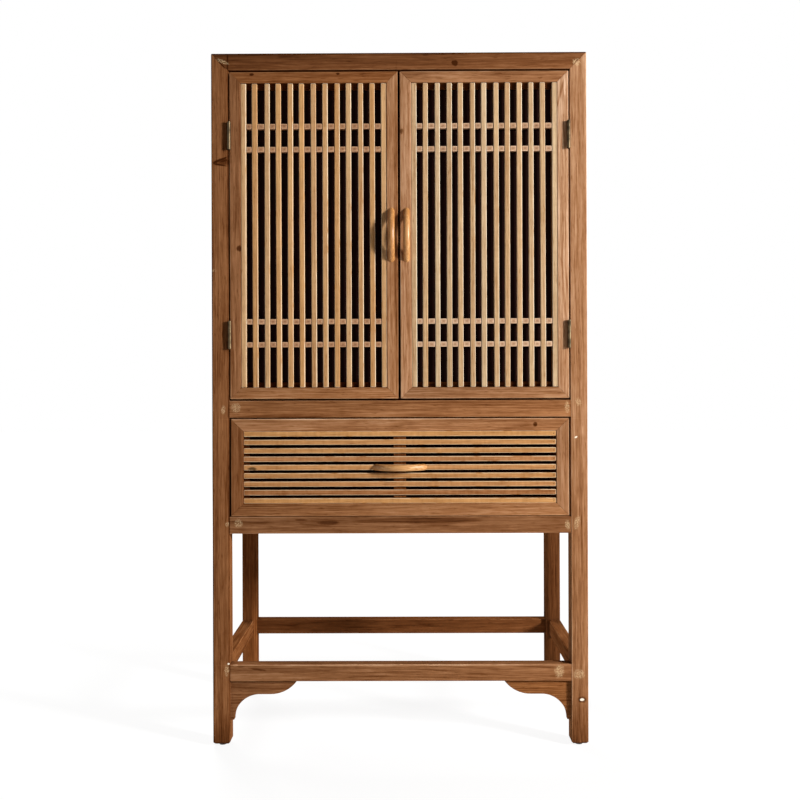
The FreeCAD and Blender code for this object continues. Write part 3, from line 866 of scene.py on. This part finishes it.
def steel(name, colour, roughness):
    """Dull steel with brushing and some tarnish."""
    material, make = new_material(name)
    place = make.add("ShaderNodeTexCoord", output="Object")
    brush = make.noise(place, (900.0, 900.0, 60.0), 3.0)
    cloud = make.noise(place, (70.0, 70.0, 70.0), 3.0).step(0.35, 0.75)
    dull = tuple(value * 0.35 for value in colour[:3]) + (1.0,)
    surface = make.add("ShaderNodeBsdfPrincipled", inputs={
        "Base Color": make.mixed(cloud, colour, dull), "Metallic": 1.0,
        "Roughness": brush * 0.3 + cloud * 0.15 + roughness})
    make.add("ShaderNodeOutputMaterial", inputs={"Surface": surface})
    return material


# Dark steel: painted shade in place of the dark surroundings that real steel would mirror
hinge_steel = steel("hinge_steel", shade(90, 76, 56), 0.24)
for node, body in (("hinge_post_leaves", "carcase"), ("hinge_pins", "carcase"),
                   ("left_door_hinge_leaves", "left_door"), ("right_door_hinge_leaves", "right_door")):
    dress(joined(node + "_steel", node), hinge_steel, body, "hinge_steel", node)
LEAF = 1.2 * MM
SCREW_RADIUS = 2.6 * MM
SCREW_RISE = 0.2 * MM
SCREW_SLOT = 0.9 * MM
SCREW_STEP = 21 * MM
SCREW_STAGGER = 2.5 * MM
SCREW_SIDES = 20
SCREW_TAPER = 0.9
SLOT_LIFT = 2.2


def screw_heads():
    """A slotted screw head on each point, turned to face along X, with its slot at any angle."""
    tree = bpy.data.node_groups.new("screw_heads", "GeometryNodeTree")
    make = Maker(tree)
    inputs = {"Points": "NodeSocketGeometry", "Radius": "NodeSocketFloat", "Rise": "NodeSocketFloat",
              "Slot": "NodeSocketFloat", "Facing": "NodeSocketFloat", "Seed": "NodeSocketInt",
              "Finish": "NodeSocketMaterial"}
    given = make.given(inputs, "Heads")
    radius, rise = given.out("Radius"), given.out("Rise")
    disc = make.add("GeometryNodeMeshCone", inputs={
        "Vertices": SCREW_SIDES, "Radius Top": radius * SCREW_TAPER, "Radius Bottom": radius,
        "Depth": rise * 2})
    slot_size = make.add("ShaderNodeCombineXYZ", inputs={
        "X": radius * 3, "Y": given.out("Slot"), "Z": rise * 2})
    cutter = make.add("GeometryNodeMeshCube", inputs={"Size": slot_size})
    slot_place = make.add("ShaderNodeCombineXYZ", inputs={"Z": rise * SLOT_LIFT})
    lifted = make.add("GeometryNodeTransform", inputs={"Geometry": cutter, "Translation": slot_place})
    head = make.add("GeometryNodeMeshBoolean", {"operation": "DIFFERENCE"}, {
        "Mesh 1": disc, "Mesh 2": lifted})
    x, _, _ = make.parts(make.add("GeometryNodeInputPosition"))
    tilt = make.add("ShaderNodeCombineXYZ", inputs={"Y": x.math("SIGN") * given.out("Facing")})
    placed = make.add("GeometryNodeInstanceOnPoints", inputs={
        "Points": given.out("Points"), "Instance": head, "Rotation": tilt})
    spin = make.add("FunctionNodeRandomValue", {"data_type": "FLOAT"}, {
        "Min_001": 0.0, "Max_001": math.pi, "Seed": given.out("Seed")}, output=1)
    turned = make.add("GeometryNodeRotateInstances", inputs={
        "Instances": placed, "Rotation": make.add("ShaderNodeCombineXYZ", inputs={"Z": spin})})
    whole = make.add("GeometryNodeRealizeInstances", inputs={"Geometry": turned})
    painted = make.add("GeometryNodeSetMaterial", inputs={
        "Geometry": whole, "Material": given.out("Finish")})
    make.add("NodeGroupOutput", inputs={"Heads": painted})
    return tree


heads = screw_heads()
post_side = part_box("front_right_post")[0].x - LEAF + SCREW_RISE
door_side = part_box("right_door_stiles")[1].x + LEAF - SCREW_RISE
for seed, (name, body, node, from_middle, facing) in enumerate((
        ("post_hinge_screws", "carcase", "hinge_post_leaves", post_side, -math.pi / 2),
        ("left_door_hinge_screws", "left_door", "left_door_hinge_leaves", door_side, math.pi / 2),
        ("right_door_hinge_screws", "right_door", "right_door_hinge_leaves", door_side, math.pi / 2))):
    places = []
    for low, high in true_boxes(node):
        middle = (low + high) / 2
        for step in (-1, 0, 1):
            stagger = SCREW_STAGGER * (1 - 2 * abs(step))
            places.append((math.copysign(from_middle, middle.x), (FRONT_FACE + high.y) / 2 + stagger,
                           middle.z + step * SCREW_STEP))
    screws = grown_by(name, heads, points=places, Radius=SCREW_RADIUS, Rise=SCREW_RISE, Slot=SCREW_SLOT,
                      Facing=facing, Seed=seed, Finish=hinge_steel)
    dress(screws, hinge_steel, body, "hinge_steel")

# Catches
# For each door a magnetic catch in a brown plastic case is fixed under the top rail. It meets a thin steel
# strike plate on the back of the door.
catch_plastic = plastic("catch_plastic", shade(92, 70, 52), 0.45)
boards(["door_catches"], "carcase", catch_plastic, "catch_plastic", "plastic", arris=1.0 * MM, seam=0.9 * MM)
for body in ("left_door", "right_door"):
    boards([body + "_strike"], body, hinge_steel, "hinge_steel", "steel", arris=0.3 * MM, seam=0.3 * MM)

# Drawer front
# A mitred frame like the doors', of the same wood, with nine level slats of warmer wood pinned in its rebate.
# A batten behind their middle keeps them in line.
drawer_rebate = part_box("drawer_slats")[1].y
boards(["drawer_front_rails"], "drawer", arris=1.5 * MM, seam=1.0 * MM, rebate=drawer_rebate,
       looks=[(0.38, 0.51, 0.6), (0.53, 0.39, 0.8)], spread=0)
boards(["drawer_front_stiles"], "drawer", arris=1.5 * MM, seam=1.0 * MM, rebate=drawer_rebate,
       looks=[(0.25, 0.25, 0.7), (0.50, 0.49, 1.0)], spread=0)
drawer_slat_tones = [
    (0.0, shade(124, 78, 36)),
    (0.5, shade(192, 142, 86)),
    (1.0, shade(238, 206, 156)),
]
drawer_slat_tints = ((1.0, 0.99, 0.97, 1.0), (1.0, 0.92, 1.14, 1.0))
# The drawer slats' pale edges are a painted highlight along their arrises, over some wear
drawer_slat_edge_highlight = shade(238, 212, 174)
PIN_X = 355
PIN_REACH = 1.5
slat_heights = [(low.z + high.z) / (2 * MM) for low, high in true_boxes("drawer_slats")]
pin_holes = [(PIN_X, height, PIN_REACH, PIN_REACH, 0) for height in slat_heights]
drawer_slat_wood = timber("drawer_slat_wood", drawer_slat_tones, drawer_slat_tints, figure=0.7, chatter=0.34,
                          wear=0.7, rubbed=slat_rubbed, bare_and_highlight=drawer_slat_edge_highlight, roughness=0.55,
                          blots=[(-341, 641, 14, 4.5, 0)] + pin_holes)
drawer_slat_shades = [(0.37, 0.25), (0.08, 1.0), (0.29, 0.6), (0.27, 0.4), (0.33, 0.5), (0.22, 0.9),
                      (0.30, 0.3), (0.33, 0.4), (0.37, 0.25)]
drawer_slat_looks = [(tone, tone, cool) for tone, cool in drawer_slat_shades]
lay_slats("drawer_slats", "drawer", drawer_slat_wood, "drawer_slat_wood", across=Z_AXIS, stretch=0.03,
          drift=0.35 * MM, lean=0.0006, seed=11, looks=drawer_slat_looks)
# The batten's dark tone is painted shade: it lies behind the slats, in their shadow.
boards(["drawer_batten"], "drawer", arris=0.8 * MM, looks=[(0.18, 0.18, 0.2)])

# Drawer box and runners
# The drawer's box is of thin panel wood: sides grooved for the bottom, and a back that stands on it. It
# slides on two runners fixed to the base rails.
boards(["drawer_sides", "drawer_back", "drawer_bottom"], "drawer", panel_wood, "panel_wood", arris=0.8 * MM,
       tone=(0.48, 0.48))
boards(["drawer_runners"], "carcase", panel_wood, "panel_wood", arris=0.8 * MM, tone=(0.45, 0.45))

# Studio
# A white floor and background, one soft lamp to the right of the doors, a softer one behind the cabinet, and
# a weak even fill.
FLOOR_REACH = 12.0
GLOW_FROM, GLOW_TO = 0.9, 3.2
NEAR_GLOW = 0.88
floor_mesh = bpy.data.meshes.new("floor")
corners = [(-FLOOR_REACH, -FLOOR_REACH, 0), (FLOOR_REACH, -FLOOR_REACH, 0),
           (FLOOR_REACH, FLOOR_REACH, 0), (-FLOOR_REACH, FLOOR_REACH, 0)]
floor_mesh.from_pydata(corners, [], [(0, 1, 2, 3)])
floor = bpy.data.objects.new("floor", floor_mesh)
bpy.context.scene.collection.objects.link(floor)


def seen_directly(make):
    """1 for what the camera sees straight, in a reflection or through glass, and 0 for lighting."""
    path = make.add("ShaderNodeLightPath")
    straight = path.out("Is Camera Ray").math("MAXIMUM", path.out("Is Glossy Ray"))
    return straight.math("MAXIMUM", path.out("Is Transmission Ray"))


# The floor glows almost white to the eye, less a little near the cabinet, so that its shadow is kept there.
floor_paint, make = new_material("floor_paint")
matt = make.add("ShaderNodeBsdfDiffuse", inputs={"Color": (0.8, 0.8, 0.8, 1.0)})
faint = make.add("ShaderNodeBsdfDiffuse", inputs={"Color": (0.14, 0.14, 0.14, 1.0)})
floor_x, floor_y, _ = make.parts(make.add("ShaderNodeTexCoord", output="Object"))
far = ((floor_x**2 + floor_y**2) ** 0.5).step(GLOW_FROM, GLOW_TO)
glow = make.add("ShaderNodeEmission", inputs={"Color": far * (1 - NEAR_GLOW) + NEAR_GLOW})
bright = make.add("ShaderNodeAddShader", inputs={0: faint, 1: glow})
both = make.add("ShaderNodeMixShader", inputs={"Fac": seen_directly(make), 1: matt, 2: bright})
make.add("ShaderNodeOutputMaterial", inputs={"Surface": both})
floor_mesh.materials.append(floor_paint)

world = bpy.data.worlds.new("studio")
bpy.context.scene.world = world
world.use_nodes = True
world.node_tree.nodes.clear()
make = Maker(world.node_tree)
FILL = 0.09
white = (1.0, 1.0, 1.0, 1.0)
warm_white = (1.0, 0.92, 0.84, 1.0)
seen = seen_directly(make)
sky = make.add("ShaderNodeBackground", inputs={
    "Color": make.mixed(seen, warm_white, white), "Strength": seen * (1 - FILL) + FILL})
make.add("ShaderNodeOutputWorld", inputs={"Surface": sky})


def soft_lamp(name, around, aim, distance, height, width, tall, power):
    """A lamp that faces the point aim from an angle around it: 0 is in front and 90 degrees at the right."""
    data = bpy.data.lights.new(name, "AREA")
    data.shape = "RECTANGLE"
    data.size = width
    data.size_y = tall
    data.energy = power
    lamp = bpy.data.objects.new(name, data)
    bpy.context.scene.collection.objects.link(lamp)
    turn = math.radians(around)
    lamp.location = Vector(aim) + distance * Vector((math.sin(turn), -math.cos(turn), 0))
    lamp.location.z = height
    lamp.rotation_euler = (Vector(aim) - lamp.location).to_track_quat("-Z", "Y").to_euler()
    lamp.visible_camera = False


soft_lamp("key", 60.0, (0.05, -0.2, 1.1), 4.0, 1.75, 0.5, 0.7, 292.0)
soft_lamp("back", 205.0, (0.0, 0.0, 0.8), 3.2, 3.3, 1.6, 1.6, 150.0)

# Camera
# It stands level before the doors, a finger's breadth to the right. The photograph's own rise is larger than
# other views can bear, so the eye is lower here, and nearer, to keep the rear stretcher above the front one.
PICTURE = 800
PIXEL = 2.306 * MM
DISTANCE = 2.15
SHIFT = -0.03
YAW = math.radians(0.3)
ROLL = math.radians(0.2)
MIDDLE_HEIGHT = 0.7988
camera_data = bpy.data.cameras.new("camera")
camera = bpy.data.objects.new("camera", camera_data)
bpy.context.scene.collection.objects.link(camera)
bpy.context.scene.camera = camera
focal = DISTANCE / PIXEL
camera_data.sensor_width = 36.0
camera_data.lens = camera_data.sensor_width * focal / PICTURE
camera_data.shift_y = SHIFT
eye_rise = -SHIFT * PICTURE * PIXEL
eye_aside = 0.5 * PIXEL + DISTANCE * math.tan(YAW)
camera.location = (eye_aside, FRONT_FACE - DISTANCE, MIDDLE_HEIGHT + eye_rise)
level = Matrix.Rotation(math.radians(90.0), 4, "X")
camera.rotation_euler = (Matrix.Rotation(YAW, 4, "Z") @ level @ Matrix.Rotation(-ROLL, 4, "Z")).to_euler()

bpy.context.scene.view_settings.view_transform = "Standard"
